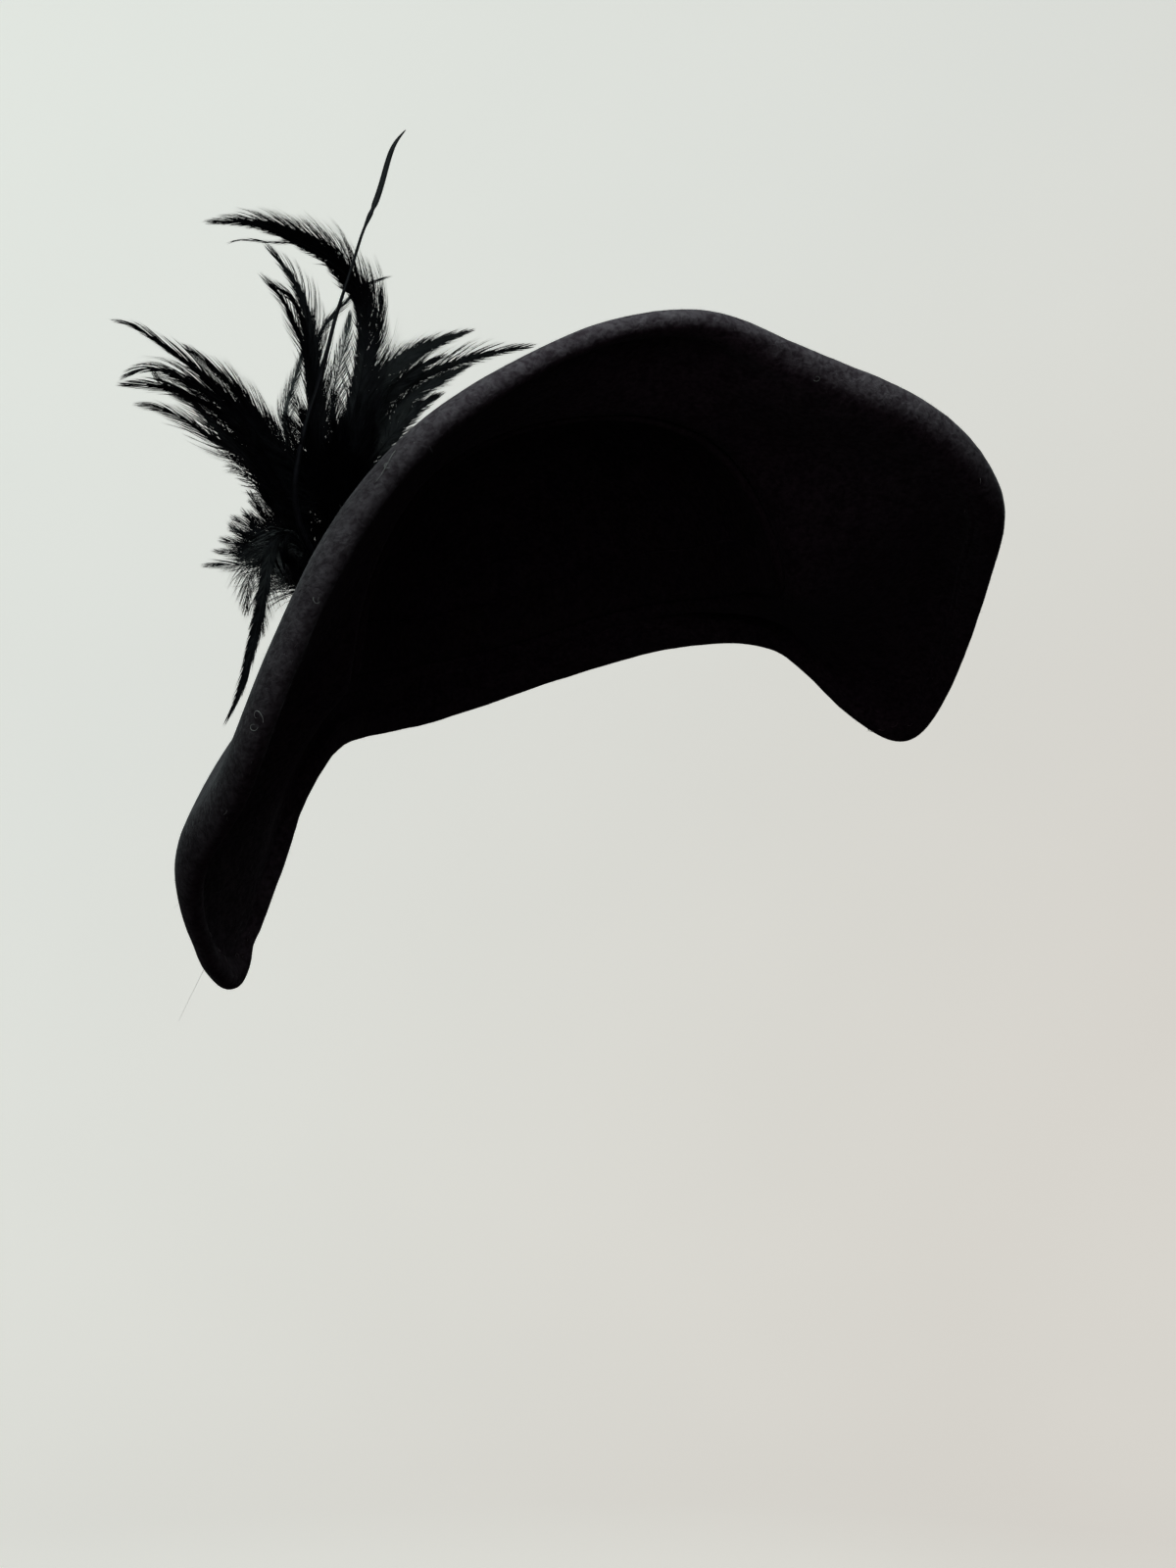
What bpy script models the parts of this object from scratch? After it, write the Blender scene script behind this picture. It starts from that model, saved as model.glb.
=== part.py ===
"""Tilt hat in black wool felt, with a folded headband and a cluster of feathers at the wearer's right.

Metres, +Z up. The face looks along -Y and the wearer's right is at -X. The origin is the
middle of the head opening. The crown stands upright on the head, and the brim dips to the
wearer's right.
"""

import bpy
import bmesh
import numpy as np
from mathutils import Vector

MM = 0.001
UP = np.array([0.0, 0.0, 1.0])
GAP = 0.3

# Felt, in millimetres
FELT = 2.8
HEM_WIDTH = 8.0
HEM_THICKNESS = 6.4
HEM_ROWS = [(HEM_WIDTH + 1.2, 0.0), (HEM_WIDTH, 0.75), (0.5 * HEM_WIDTH, 1.08), (0.0, 1.0)]
CREASE = 4.0

# Crown: an upright dome, in millimetres
CROWN_CENTRE = np.array([5.0, 4.0, -22.0])
CROWN_HALF = np.array([77.0, 96.0, 98.0])
CROWN_POLE = np.array([0.0, 0.50, 0.87])
CROWN_ROWS = [0.2, 0.4, 0.6, 0.8]

# Brim, in millimetres: its outer strip may roll up, and is narrower where the brim is
ROLLED_STRIP = 12.0
NARROW_SHARE = 0.72
TANGENT_SHARE = 0.36
BRIM_ROWS = [0.16, 0.32, 0.48, 0.64, 0.78]
SPANS = 3

# One row for each section, from the front round the wearer's right to the back, and round the
# left to the front again. The bearing is degrees round the crown from the front, and the rim
# is the height on the crown where the brim starts. Out, back and up place the brim's edge.
# The rises are the slopes of the section where it leaves the crown and where it ends, and the
# roll is how far its outer strip turns up, in degrees, or turns under where it is below zero.
SECTION_COLUMNS = ("bearing", "rim", "out", "back", "up", "root_rise", "edge_rise", "roll")
SECTIONS = [
    (-5, 56, -22, -96, 74, 22, 13, -12),
    (-27, 54, -55, -94, 60, 17, 7, -45),
    (-46, 50, -81, -91, 41, 10, 1, -62),
    (-60, 44, -101, -88, 15, 0, -12, -70),
    (-70, 35, -115, -80, -15, -13, -23, -72),
    (-77, 17, -123, -66, -44, -24, -38, -72),
    (-80, 1, -127, -40, -67, -31, -55, -70),
    (-82, -14, -128, -6, -92, -37, -72, -58),
    (-85, -26, -106, 28, -121, -40, -78, -25),
    (-93, -29, -91, 36, -97, -44, -81, -8),
    (-105, -28, -79, 44, -68, -53, -81, 0),
    (-120, -26, -65, 58, -48, -59, -81, 0),
    (-138, -22, -47, 82, -39, -55, -67, 0),
    (-158, -18, -21, 100, -34, -49, -60, 0),
    (180, -12, 8, 107, -26, -46, -59, 0),
    (158, -4, 36, 100, -16, -44, -57, 0),
    (140, 3, 61, 82, -7, -34, -48, 0),
    (122, 6, 82, 58, -3, -30, -54, 0),
    (108, 6, 108, 44, -8, -25, -54, 0),
    (95, 6, 130, 36, -29, -15, -55, 0),
    (84, 4, 151, 27, -37, -10, -50, 0),
    (76, 3, 150, -8, -8, -3, -38, 0),
    (70, 8, 138, -40, 14, 2, -23, 20),
    (64, 20, 124, -66, 29, 5, -10, 60),
    (56, 36, 99, -81, 45, 12, 3, 95),
    (45, 47, 69, -89, 55, 21, 10, 95),
    (30, 52, 38, -93, 66, 28, 18, 60),
    (14, 55, 11, -95, 77, 28, 18, 15),
]

# Headband: felt folded double, standing inside the crown
BAND_THICKNESS = 3.4
BAND_HEIGHTS = [20.0, 11.5, 3.5]

# Feathers: an oval pad on the crown, and the quills' wrapped roots on it, in millimetres
PAD_CENTRE = (9.0, 14.0)
PAD_HALF = (17.0, 15.0)
PAD_THICKNESS = 2.2
PAD_LIFT = FELT / 2 + GAP + 0.1
ROOT_RADIUS = 4.6

# Root of each group on the crown's right side: back, and height
ROOTS = {
    "upright_plumes": (2.0, 22.0),
    "crown_plumes": (16.0, 20.0),
    "side_plumes": (14.0, 7.0),
    "hackle_tuft": (1.0, 7.0),
}

# One row for each plume: its group, greatest width, and the points of its shaft after the root
PLUME_COLUMNS = ("group", "width", "shaft")
PLUMES = [
    ("upright_plumes", 13, [(-71, 8, 46), (-66, 8, 68), (-63, 8, 82), (-68, 5, 97), (-84, -3, 108),
                            (-121, -15, 113)]),
    ("upright_plumes", 11, [(-82, 12, 46), (-79, 16, 70), (-79, 20, 92), (-93, 24, 117)]),
    ("upright_plumes", 11, [(-85, 2, 50), (-83, 0, 74), (-89, -3, 87), (-101, -8, 100)]),
    ("upright_plumes", 8, [(-74, 20, 58), (-70, 28, 88), (-58, 33, 105), (-45, 36, 113)]),
    ("upright_plumes", 9, [(-67, 18, 60), (-60, 20, 80), (-51, 24, 103)]),
    ("crown_plumes", 12, [(-66, 28, 46), (-53, 34, 72), (-36, 37, 87), (-15, 40, 98)]),
    ("crown_plumes", 13, [(-62, 36, 42), (-50, 43, 64), (-24, 50, 85), (13, 54, 96)]),
    ("crown_plumes", 10, [(-64, 22, 46), (-52, 28, 63), (-24, 36, 78)]),
    ("side_plumes", 12, [(-90, 3, 33), (-106, -4, 59), (-125, -9, 71), (-147, -16, 80)]),
    ("side_plumes", 13, [(-90, 12, 30), (-101, 12, 49), (-117, 9, 63), (-143, 2, 64)]),
    ("side_plumes", 10, [(-91, 19, 31), (-106, 24, 49), (-133, 28, 62)]),
    ("side_plumes", 8, [(-89, 22, 22), (-99, 25, 36), (-113, 28, 42)]),
    ("hackle_tuft", 13, [(-90, -2, 14), (-100, -4, 20), (-109, -5, 25)]),
    ("hackle_tuft", 13, [(-87, 8, 5), (-95, 12, 9), (-103, 14, 13)]),
    ("hackle_tuft", 11, [(-91, -3, 5), (-101, -5, -2), (-104, -8, -16), (-113, -12, -40)]),
    ("hackle_tuft", 8, [(-85, 4, 0), (-93, 5, -6), (-99, 4, -24)]),
]
PLUME_ROWS = 9
PLUME_THICKNESS = 1.8
PLUME_FACING = (-0.37, -0.93, 0.0)

# Stripped quill: where it sits on the pad, its points from there, and its thickness at both ends
QUILL_SEAT = (-4.0, 4.0)
QUILL = [(-84, -6, 15), (-89, -8, 26), (-90, -10, 37), (-87, -10, 53), (-83, -9, 65), (-80, -9, 76),
         (-77, -8, 87), (-74, -7, 96), (-70, -5, 107), (-66, -3, 118), (-61, -1, 129), (-57, 1, 141),
         (-54, 2, 148), (-50, 4, 153)]
QUILL_ROOT = 2.6
QUILL_TIP = 0.9


def clear_scene():
    for item in list(bpy.data.objects):
        bpy.data.objects.remove(item, do_unlink=True)


def material(name, colour, roughness):
    finish = bpy.data.materials.new(name)
    finish.use_nodes = True
    shader = finish.node_tree.nodes["Principled BSDF"]
    shader.inputs["Base Color"].default_value = (*colour, 1.0)
    shader.inputs["Roughness"].default_value = roughness
    shader.inputs["Metallic"].default_value = 0.0
    return finish


def unit(vectors):
    return vectors / np.linalg.norm(vectors, axis=-1, keepdims=True)


def spline(rows, per_span, closed):
    """Cubic curve through the rows, with per_span points for each step between two of them."""
    rows = np.asarray(rows, float)
    count = len(rows)
    system = 4.0 * np.eye(count) + np.eye(count, k=1) + np.eye(count, k=-1)
    right = 3.0 * (np.roll(rows, -1, axis=0) - np.roll(rows, 1, axis=0))
    if closed:
        system[0, -1] = system[-1, 0] = 1.0
        spans = count
    else:
        system[0, 0] = system[-1, -1] = 2.0
        right[0] = 3.0 * (rows[1] - rows[0])
        right[-1] = 3.0 * (rows[-1] - rows[-2])
        spans = count - 1
    slopes = np.linalg.solve(system, right)
    points = []
    for span in range(spans):
        after = (span + 1) % count
        for step in range(per_span):
            t = step / per_span
            points.append((2 * t**3 - 3 * t**2 + 1) * rows[span] + (t**3 - 2 * t**2 + t) * slopes[span]
                          + (3 * t**2 - 2 * t**3) * rows[after] + (t**3 - t**2) * slopes[after])
    if not closed:
        points.append(rows[-1])
    return np.array(points)


def crown_point(bearing, height):
    """Point of the crown's dome at a bearing in degrees and a height in millimetres."""
    rise = (height - CROWN_CENTRE[2]) / CROWN_HALF[2]
    reach = np.sqrt(1.0 - rise**2)
    turn = np.radians(bearing)
    return CROWN_CENTRE + CROWN_HALF * np.array([reach * np.sin(turn), -reach * np.cos(turn), rise])


def crown_side(back, height):
    """Point and outward normal on the wearer's right of the crown."""
    rise = (height - CROWN_CENTRE[2]) / CROWN_HALF[2]
    along = (back - CROWN_CENTRE[1]) / CROWN_HALF[1]
    direction = np.array([-np.sqrt(1.0 - rise**2 - along**2), along, rise])
    return CROWN_CENTRE + CROWN_HALF * direction, unit(direction / CROWN_HALF)


def between(pole, ends, share):
    """Directions the given share of the way round from the pole to each end."""
    angle = np.arccos(np.clip(ends @ pole, -1.0, 1.0))[:, None]
    return (np.sin((1.0 - share) * angle) * pole + np.sin(share * angle) * ends) / np.sin(angle)


def columns_round():
    """Root on the crown, edge, rises and roll of every column of the felt, once round the hat."""
    stations = []
    for row in SECTIONS:
        s = dict(zip(SECTION_COLUMNS, row))
        root = crown_point(s["bearing"], s["rim"])
        stations.append([*root, s["out"], s["back"], s["up"], s["root_rise"], s["edge_rise"], s["roll"]])
    return spline(stations, SPANS, closed=True)


def sloped(level, rise):
    """Level directions raised by angles in degrees."""
    angle = np.radians(rise)[:, None]
    return level * np.cos(angle) + UP * np.sin(angle)


class Felt:
    """Middle surface of the felt: the crown, the crease round it and the brim."""

    def __init__(self):
        columns = columns_round()
        self.pole = unit(CROWN_POLE)
        self.directions = unit((columns[:, 0:3] - CROWN_CENTRE) / CROWN_HALF)
        self.root = self.crown(1.0)
        steps = np.linspace(0.0, 1.0, 13)
        path = np.array([self.crown(share) for share in steps])
        self.crown_length = np.linalg.norm(np.diff(path, axis=0), axis=2).sum(axis=0)
        self.lay_brim(columns)

    def crown(self, share):
        """Points a share of the way from the crown's pole to its rim."""
        share = np.broadcast_to(np.asarray(share, float), (len(self.directions),))[:, None]
        return CROWN_CENTRE + CROWN_HALF * between(self.pole, self.directions, share)

    def share_above_rim(self, distance):
        """Share of the way from the pole to each root that ends a distance above the rim."""
        along = unit(np.roll(self.root, -1, axis=0) - np.roll(self.root, 1, axis=0))
        up = unit(self.crown(0.96) - self.root)
        lean = np.linalg.norm(np.cross(up, along), axis=1)
        return 1.0 - distance / np.maximum(lean, 0.62) / self.crown_length

    def lay_brim(self, columns):
        start = self.root
        outline = columns[:, 3:6]
        span = outline - start
        level = unit(span * np.array([1.0, 1.0, 0.0]))
        reach = np.linalg.norm(span, axis=1)[:, None]
        self.end_direction = sloped(level, columns[:, 7])
        turn = np.radians(columns[:, 8])[:, None]
        self.turn = np.where(np.abs(turn) < 0.01, 0.01, turn)
        self.strip_width = np.minimum(ROLLED_STRIP, reach * NARROW_SHARE)
        self.radius = self.strip_width / self.turn
        strip_reach = self.radius * np.sin(np.clip(self.turn, -np.pi / 2, np.pi / 2))
        bend = outline - self.end_direction * strip_reach
        pull = reach * TANGENT_SHARE
        self.controls = [start, start + sloped(level, columns[:, 6]) * pull,
                         bend - self.end_direction * np.minimum(pull, reach * 0.25), bend]
        across = unit(np.cross(self.end_direction, UP))
        edge_run = np.roll(outline, -1, axis=0) - np.roll(outline, 1, axis=0)
        self.end_normal = np.where(self.turn < 0.0, unit(np.cross(edge_run, self.end_direction)),
                                   unit(np.cross(across, self.end_direction)))
        self.brim_length = np.linalg.norm(bend - start, axis=1)

    def brim(self, share):
        """Points of the brim, from the crown at 0 to the start of its rolled strip at 1."""
        t = np.broadcast_to(np.asarray(share, float), (len(self.root),))[:, None]
        a, b, c, d = self.controls
        return (1 - t)**3 * a + 3 * (1 - t)**2 * t * b + 3 * (1 - t) * t**2 * c + t**3 * d

    def wall(self):
        """Rows of the middle surface from near the crown's pole to the brim's edge, and their normals."""
        band_top = self.share_above_rim(BAND_HEIGHTS[0])
        rows = [self.crown(share * band_top) for share in CROWN_ROWS]
        rows += [self.crown(self.share_above_rim(height)) for height in BAND_HEIGHTS]
        first = self.brim(np.minimum(CREASE / self.brim_length, 0.1))
        rows += [0.25 * rows[-1] + 0.5 * self.root + 0.25 * first, first]
        rows += [self.brim(share) for share in BRIM_ROWS]
        rows.append(self.brim(1.0))
        rows += [self.strip(distance) for distance, _ in HEM_ROWS]
        rows = np.array(rows)
        return rows, surface_normals(rows)

    def strip(self, distance):
        """Points of the brim's outer strip, a distance in from the edge."""
        angle = self.turn * (1.0 - distance / self.strip_width)
        offset = self.end_direction * np.sin(angle) + self.end_normal * (1.0 - np.cos(angle))
        return self.controls[3] + self.radius * offset


def surface_normals(rows):
    """Outward unit normals of a grid of rows that close on themselves."""
    round_way = np.roll(rows, -1, axis=1) - np.roll(rows, 1, axis=1)
    down = np.gradient(rows, axis=0)
    return unit(np.cross(round_way, down))


def loft(name, rings, finish, start=None, end=None, origin=(0.0, 0.0, 0.0)):
    """Closed solid through rings of points in millimetres; start and end are its poles.

    Without poles the last ring joins the first.
    """
    shape = bmesh.new()
    centre = np.array(origin)
    loops = [[shape.verts.new(Vector((point - centre) * MM)) for point in ring] for ring in rings]
    pairs = list(zip(loops, loops[1:]))
    if start is None:
        pairs.append((loops[-1], loops[0]))
    for one, two in pairs:
        for here in range(len(one)):
            after = (here + 1) % len(one)
            shape.faces.new((one[here], one[after], two[after], two[here]))
    for loop, point in ((loops[0], start), (loops[-1], end)):
        if point is not None:
            tip_vertex = shape.verts.new(Vector((np.asarray(point) - centre) * MM))
            for here in range(len(loop)):
                shape.faces.new((loop[here], loop[(here + 1) % len(loop)], tip_vertex))
    bmesh.ops.recalc_face_normals(shape, faces=shape.faces)
    return place(name, shape, finish, origin)


def place(name, shape, finish, origin):
    """Object made of a finished shape, at its own origin."""
    mesh = bpy.data.meshes.new(name)
    shape.to_mesh(mesh)
    shape.free()
    mesh.shade_smooth()
    mesh.materials.append(finish)
    item = bpy.data.objects.new(name, mesh)
    item.location = Vector(origin) * MM
    part_collection.objects.link(item)
    item.parent = hat
    return item


def fuse(name, pieces):
    """One body from pieces that overlap."""
    first = pieces[0]
    for other in pieces[1:]:
        union = first.modifiers.new("union", 'BOOLEAN')
        union.operation = 'UNION'
        union.solver = 'EXACT'
        union.object = other
    bpy.context.view_layer.update()
    evaluated = first.evaluated_get(bpy.context.evaluated_depsgraph_get())
    mesh = bpy.data.meshes.new_from_object(evaluated)
    first.modifiers.clear()
    first.data = mesh
    first.name = name
    mesh.name = name
    for other in pieces[1:]:
        bpy.data.objects.remove(other, do_unlink=True)
    return first


def make_felt_body(rows, normals):
    """Crown and brim in one piece, with the brim's edge turned under into a hem."""
    plain = len(rows) - len(HEM_ROWS)
    extra = np.array([0.0] * plain + [share * (HEM_THICKNESS - FELT) for _, share in HEM_ROWS])
    outer = rows + normals * FELT / 2
    inner = rows - normals * (FELT / 2 + extra)[:, None, None]
    rim_centre = (outer[-1] + inner[-1]) / 2
    half = np.linalg.norm(outer[-1] - inner[-1], axis=1)[:, None] / 2
    forward = unit(rows[-1] - rows[-2])
    rim = []
    for turn in np.radians([60.0, 30.0, 0.0, -30.0, -60.0]):
        rim.append(rim_centre + half * (normals[-1] * np.sin(turn) + forward * np.cos(turn)))
    direction = unit(CROWN_POLE)
    pole = CROWN_CENTRE + CROWN_HALF * direction
    up = unit(direction / CROWN_HALF)
    rings = list(outer) + rim + list(inner[::-1])
    return loft("felt_body", rings, felt_finish, pole + up * FELT / 2, pole - up * FELT / 2)


def make_headband(rows, normals):
    """Band of felt folded double, standing inside the crown just above its rim."""
    band = slice(len(CROWN_ROWS), len(CROWN_ROWS) + len(BAND_HEIGHTS))
    rows, normals = rows[band], normals[band]
    back = FELT / 2 + GAP
    face = back + BAND_THICKNESS
    down = unit(rows[-1] - rows[-2])
    fold = rows[-1] - normals[-1] * (back + face) / 2 + down * BAND_THICKNESS * 0.3
    rings = list(rows - normals * back) + [fold] + list((rows - normals * face)[::-1])
    return loft("headband", rings, band_finish)


def make_pad():
    """Oval felt pad that the feathers are sewn to, lying on the crown."""
    angles = np.linspace(0.0, 2 * np.pi, 20, endpoint=False)

    def ring(size, offset):
        points = []
        for angle in angles:
            back = PAD_CENTRE[0] + size * PAD_HALF[0] * np.cos(angle)
            height = PAD_CENTRE[1] + size * PAD_HALF[1] * np.sin(angle)
            point, outward = crown_side(back, height)
            points.append(point + outward * offset)
        return np.array(points)

    low = PAD_LIFT
    high = low + PAD_THICKNESS
    profile = [(0.5, low), (0.94, low), (1.0, (low + high) / 2), (0.92, high), (0.5, high)]
    rings = [ring(size, offset) for size, offset in profile]
    point, outward = crown_side(*PAD_CENTRE)
    return loft("feather_pad", rings, felt_finish, point + outward * low, point + outward * high)


def on_pad(seat, radius):
    """Point above the pad's face at back and height, a gap and the given radius away from it."""
    point, outward = crown_side(*seat)
    return point + outward * (PAD_LIFT + PAD_THICKNESS + GAP + radius)


def make_root(group, origin):
    """Wrapped root of a group, round as a bead."""
    shape = bmesh.new()
    bmesh.ops.create_uvsphere(shape, u_segments=12, v_segments=8, radius=ROOT_RADIUS * MM)
    return place(group + "_root", shape, feather_finish, origin)


def make_plume(name, width, shaft, origin):
    """One plume: a flat lens section swept along its shaft, widest near the middle."""
    path = spline([origin] + [np.array(point, float) for point in shaft], 8, closed=False)
    picks = np.linspace(0, len(path) - 1, PLUME_ROWS + 2).round().astype(int)
    centres = path[picks]
    facing = np.array(PLUME_FACING)
    rings = []
    for row in range(1, PLUME_ROWS + 1):
        share = row / (PLUME_ROWS + 1)
        along = unit(centres[row + 1] - centres[row - 1])
        across = unit(np.cross(along, facing))
        proud = unit(np.cross(across, along))
        wide = 0.5 * width * (0.22 + 0.78 * np.sin(np.pi * share**0.8))
        thick = 0.5 * PLUME_THICKNESS * (1.2 - 0.7 * share)
        ring = [centres[row] + across * wide * side + proud * thick * high
                for side, high in ((1, 0), (0.5, 0.8), (-0.5, 0.8), (-1, 0), (-0.5, -0.8), (0.5, -0.8))]
        rings.append(np.array(ring))
    return loft(name, rings, feather_finish, centres[0], centres[-1], origin)


def make_plume_groups():
    for group in ROOTS:
        origin = on_pad(ROOTS[group], ROOT_RADIUS)
        pieces = [make_root(group, origin)]
        for number, row in enumerate(PLUMES):
            plume = dict(zip(PLUME_COLUMNS, row))
            if plume["group"] == group:
                name = group + "_" + str(number)
                pieces.append(make_plume(name, plume["width"], plume["shaft"], origin))
        fuse(group, pieces)


def make_quill():
    """Bare quill that stands above the plumes, thinning to its tip."""
    points = np.array([on_pad(QUILL_SEAT, QUILL_ROOT / 4), *QUILL]) * MM
    curve = bpy.data.curves.new("quill_spike", 'CURVE')
    curve.dimensions = '3D'
    curve.bevel_depth = MM
    curve.bevel_resolution = 2
    curve.use_fill_caps = True
    line = curve.splines.new('POLY')
    line.points.add(len(points) - 1)
    start = Vector(points[0])
    for place_on, (here, point) in enumerate(zip(line.points, points)):
        share = place_on / (len(points) - 1)
        here.co = (*(Vector(point) - start), 1.0)
        here.radius = 0.5 * (QUILL_ROOT + (QUILL_TIP - QUILL_ROOT) * share)
    curve.materials.append(quill_finish)
    item = bpy.data.objects.new("quill_spike", curve)
    item.location = start
    part_collection.objects.link(item)
    item.parent = hat
    return item


clear_scene()
part_collection = bpy.data.collections.new("tilt_hat")
bpy.context.scene.collection.children.link(part_collection)
hat = bpy.data.objects.new("tilt_hat_origin", None)
part_collection.objects.link(hat)

felt_finish = material("black_wool_felt", (0.012, 0.011, 0.012), 0.95)
band_finish = material("black_band_felt", (0.014, 0.013, 0.014), 0.92)
feather_finish = material("black_feather", (0.010, 0.010, 0.013), 0.45)
quill_finish = material("dark_quill", (0.016, 0.014, 0.018), 0.35)

wall_rows, wall_normals = Felt().wall()
make_felt_body(wall_rows, wall_normals)
make_headband(wall_rows, wall_normals)
make_pad()
make_plume_groups()
make_quill()
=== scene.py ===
"""Looks of a black wool-felt tilt hat with a folded headband and a cluster of feathers.

The wearer looks along -Y and the wearer's right is at -X. Sizes are in millimetres until a
mesh is made.
"""

import math
import bpy
import numpy as np
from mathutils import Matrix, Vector, noise


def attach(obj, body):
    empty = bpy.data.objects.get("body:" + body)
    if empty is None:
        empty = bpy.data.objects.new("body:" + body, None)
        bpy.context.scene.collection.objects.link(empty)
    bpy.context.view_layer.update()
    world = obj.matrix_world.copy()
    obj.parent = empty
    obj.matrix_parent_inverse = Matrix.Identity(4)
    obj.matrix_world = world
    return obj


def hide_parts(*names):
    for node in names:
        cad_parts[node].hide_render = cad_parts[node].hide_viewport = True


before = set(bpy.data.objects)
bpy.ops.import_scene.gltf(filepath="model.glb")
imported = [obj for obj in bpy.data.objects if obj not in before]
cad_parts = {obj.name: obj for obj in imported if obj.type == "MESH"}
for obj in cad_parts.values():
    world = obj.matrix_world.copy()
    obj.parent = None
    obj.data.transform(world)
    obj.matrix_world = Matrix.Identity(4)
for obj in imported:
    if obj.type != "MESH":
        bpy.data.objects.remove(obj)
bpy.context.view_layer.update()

MM = 0.001
UP = np.array([0.0, 0.0, 1.0])

# Clear space between pieces that rest on each other
GAP = 0.3

# Camera: bearing round the hat, distance, place aside and up, and lens
VIEW_BEARING = -22.0
VIEW_DISTANCE = 750.0
VIEW_ASIDE = 11.0
VIEW_HEIGHT = -58.0
VIEW_LENS = 52.3

# Lights: name, place ahead of the hat, aside and up in metres, side of the square, watts, colour
LIGHTS = [
    ("ceiling_light", 0.75, 0.1, 1.4, 1.3, 44.0, (0.80, 1.0, 0.93)),
    ("window_light", 0.9, -1.2, 0.4, 0.7, 3.0, (0.80, 1.0, 0.93)),
    ("front_light", 1.5, 0.0, 0.35, 1.0, 2.2, (1.0, 0.70, 0.88)),
]
AIR_COLOUR = (1.0, 0.90, 0.93)
AIR_STRENGTH = 0.012

# Backdrop: its paint, and its glow, with light painted into it that grows brighter from the lower right to
# the upper left
SWEEP_PAINT = [(0.3, (0.80, 0.81, 0.79)), (0.7, (0.84, 0.84, 0.82))]
SWEEP_PAINTED_LIGHT = [(0.0, (0.455, 0.385, 0.36)), (0.42, (0.515, 0.495, 0.475)), (1.0, (0.60, 0.61, 0.575))]
PAINTED_LIGHT_RISE = 0.30
PAINTED_LIGHT_SLANT = -0.25

# Felt: how thick it is, the hem's width and thickness, the strip that rolls at the brim's edge and
# the share of a narrow brim it may take, how far the slopes at the brim's root and end reach, the
# crease's width, the crown's centre, half sizes and top, and the steps between two sections
FELT = 2.8
HEM_WIDTH = 8.0
HEM_THICKNESS = 6.4
ROLLED_STRIP = 12.0
NARROW_SHARE = 0.72
TANGENT_SHARE = 0.36
END_SHARE = 0.25
CREASE = 4.0
CROWN_CENTRE = np.array([5.0, 4.0, -22.0])
CROWN_HALF = np.array([77.0, 96.0, 98.0])
CROWN_POLE = np.array([0.0, 0.50, 0.87])
LEAST_LEAN = 0.62
SPANS = 15

# Sections round the hat: the bearing from its front and the height where the brim leaves the crown,
# the place of the brim's edge, how steeply the brim starts and ends in degrees, and how many
# degrees its edge rolls
SECTIONS = [
    (-5, 56, -22, -96, 74, 22, 13, -12),
    (-27, 54, -55, -94, 60, 17, 7, -45),
    (-46, 50, -81, -91, 41, 10, 1, -62),
    (-60, 44, -101, -88, 15, 0, -12, -70),
    (-70, 35, -115, -80, -15, -13, -23, -72),
    (-77, 17, -123, -66, -44, -24, -38, -72),
    (-80, 1, -127, -40, -67, -31, -55, -70),
    (-82, -14, -128, -6, -92, -37, -72, -58),
    (-85, -26, -106, 28, -121, -40, -78, -25),
    (-93, -29, -91, 36, -97, -44, -81, -8),
    (-105, -28, -79, 44, -68, -53, -81, 0),
    (-120, -26, -65, 58, -48, -59, -81, 0),
    (-138, -22, -47, 82, -39, -55, -67, 0),
    (-158, -18, -21, 100, -34, -49, -60, 0),
    (180, -12, 8, 107, -26, -46, -59, 0),
    (158, -4, 36, 100, -16, -44, -57, 0),
    (140, 3, 61, 82, -7, -34, -48, 0),
    (122, 6, 82, 58, -3, -30, -54, 0),
    (108, 6, 108, 44, -8, -25, -54, 0),
    (95, 6, 130, 36, -29, -15, -55, 0),
    (84, 4, 151, 27, -37, -10, -50, 0),
    (76, 3, 150, -8, -8, -3, -38, 0),
    (70, 8, 138, -40, 14, 2, -23, 20),
    (64, 20, 124, -66, 29, 5, -10, 60),
    (56, 36, 99, -81, 45, 12, 3, 95),
    (45, 47, 69, -89, 55, 21, 10, 95),
    (30, 52, 38, -93, 66, 28, 18, 60),
    (14, 55, 11, -95, 77, 28, 18, 15),
]

# Rows of the felt shell: shares of the crown, heights above its rim, how many on the brim, and
# distances in from the brim's edge
CROWN_SHARES = np.linspace(0.05, 0.9, 16)
RIM_HEIGHTS = (20, 17, 14, 11.5, 9, 7, 5, 3.5)
BRIM_ROWS = 23
EDGE_STEPS = (11, 10, 9.4, 9, 8.7, 8.4, 8.1, 7.8, 7.4, 7.1,
              6.9, 6.6, 6, 5, 4, 3, 2, 1.1, 0.4, 0)

# Hem's profile, by distance in from the edge: where its step eases off, how much it puffs between
# edge and stitches, the seam's place, width and depth, and how a hem without a step rounds off
HEM_EASE = 0.75
HEM_PUFF = 0.08
STITCH_LINE = 7.0
SEAM_WIDTH = 0.35
SEAM_DEPTH = 0.55
ROUND_FROM = 11.0
ROUND_OVER = 9.0

# Lumps: how high, how wide and which noise
FELT_LUMPS = [(0.40, 30.0, 3.7), (0.10, 11.0, 11.3), (0.04, 4.0, 5.1)]
UNDER_LUMPS = [(0.04, 14.0, 21.9), (0.02, 4.0, 17.1)]
BAND_LUMPS = [(0.18, 8.0, 2.2), (0.10, 3.0, 9.4)]

# How the hem shows, as a section's number and then, from 0 to 1, its step and its pressed seam
SEWN = [(0, 0, 0), (8, 0, 0), (9, 0.3, 0.3), (10, 1, 0.6), (18, 1, 0.6),
        (19, 0.6, 1), (20, 0.4, 1), (23, 0.3, 1), (24, 0, 0), (28, 0, 0)]

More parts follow.
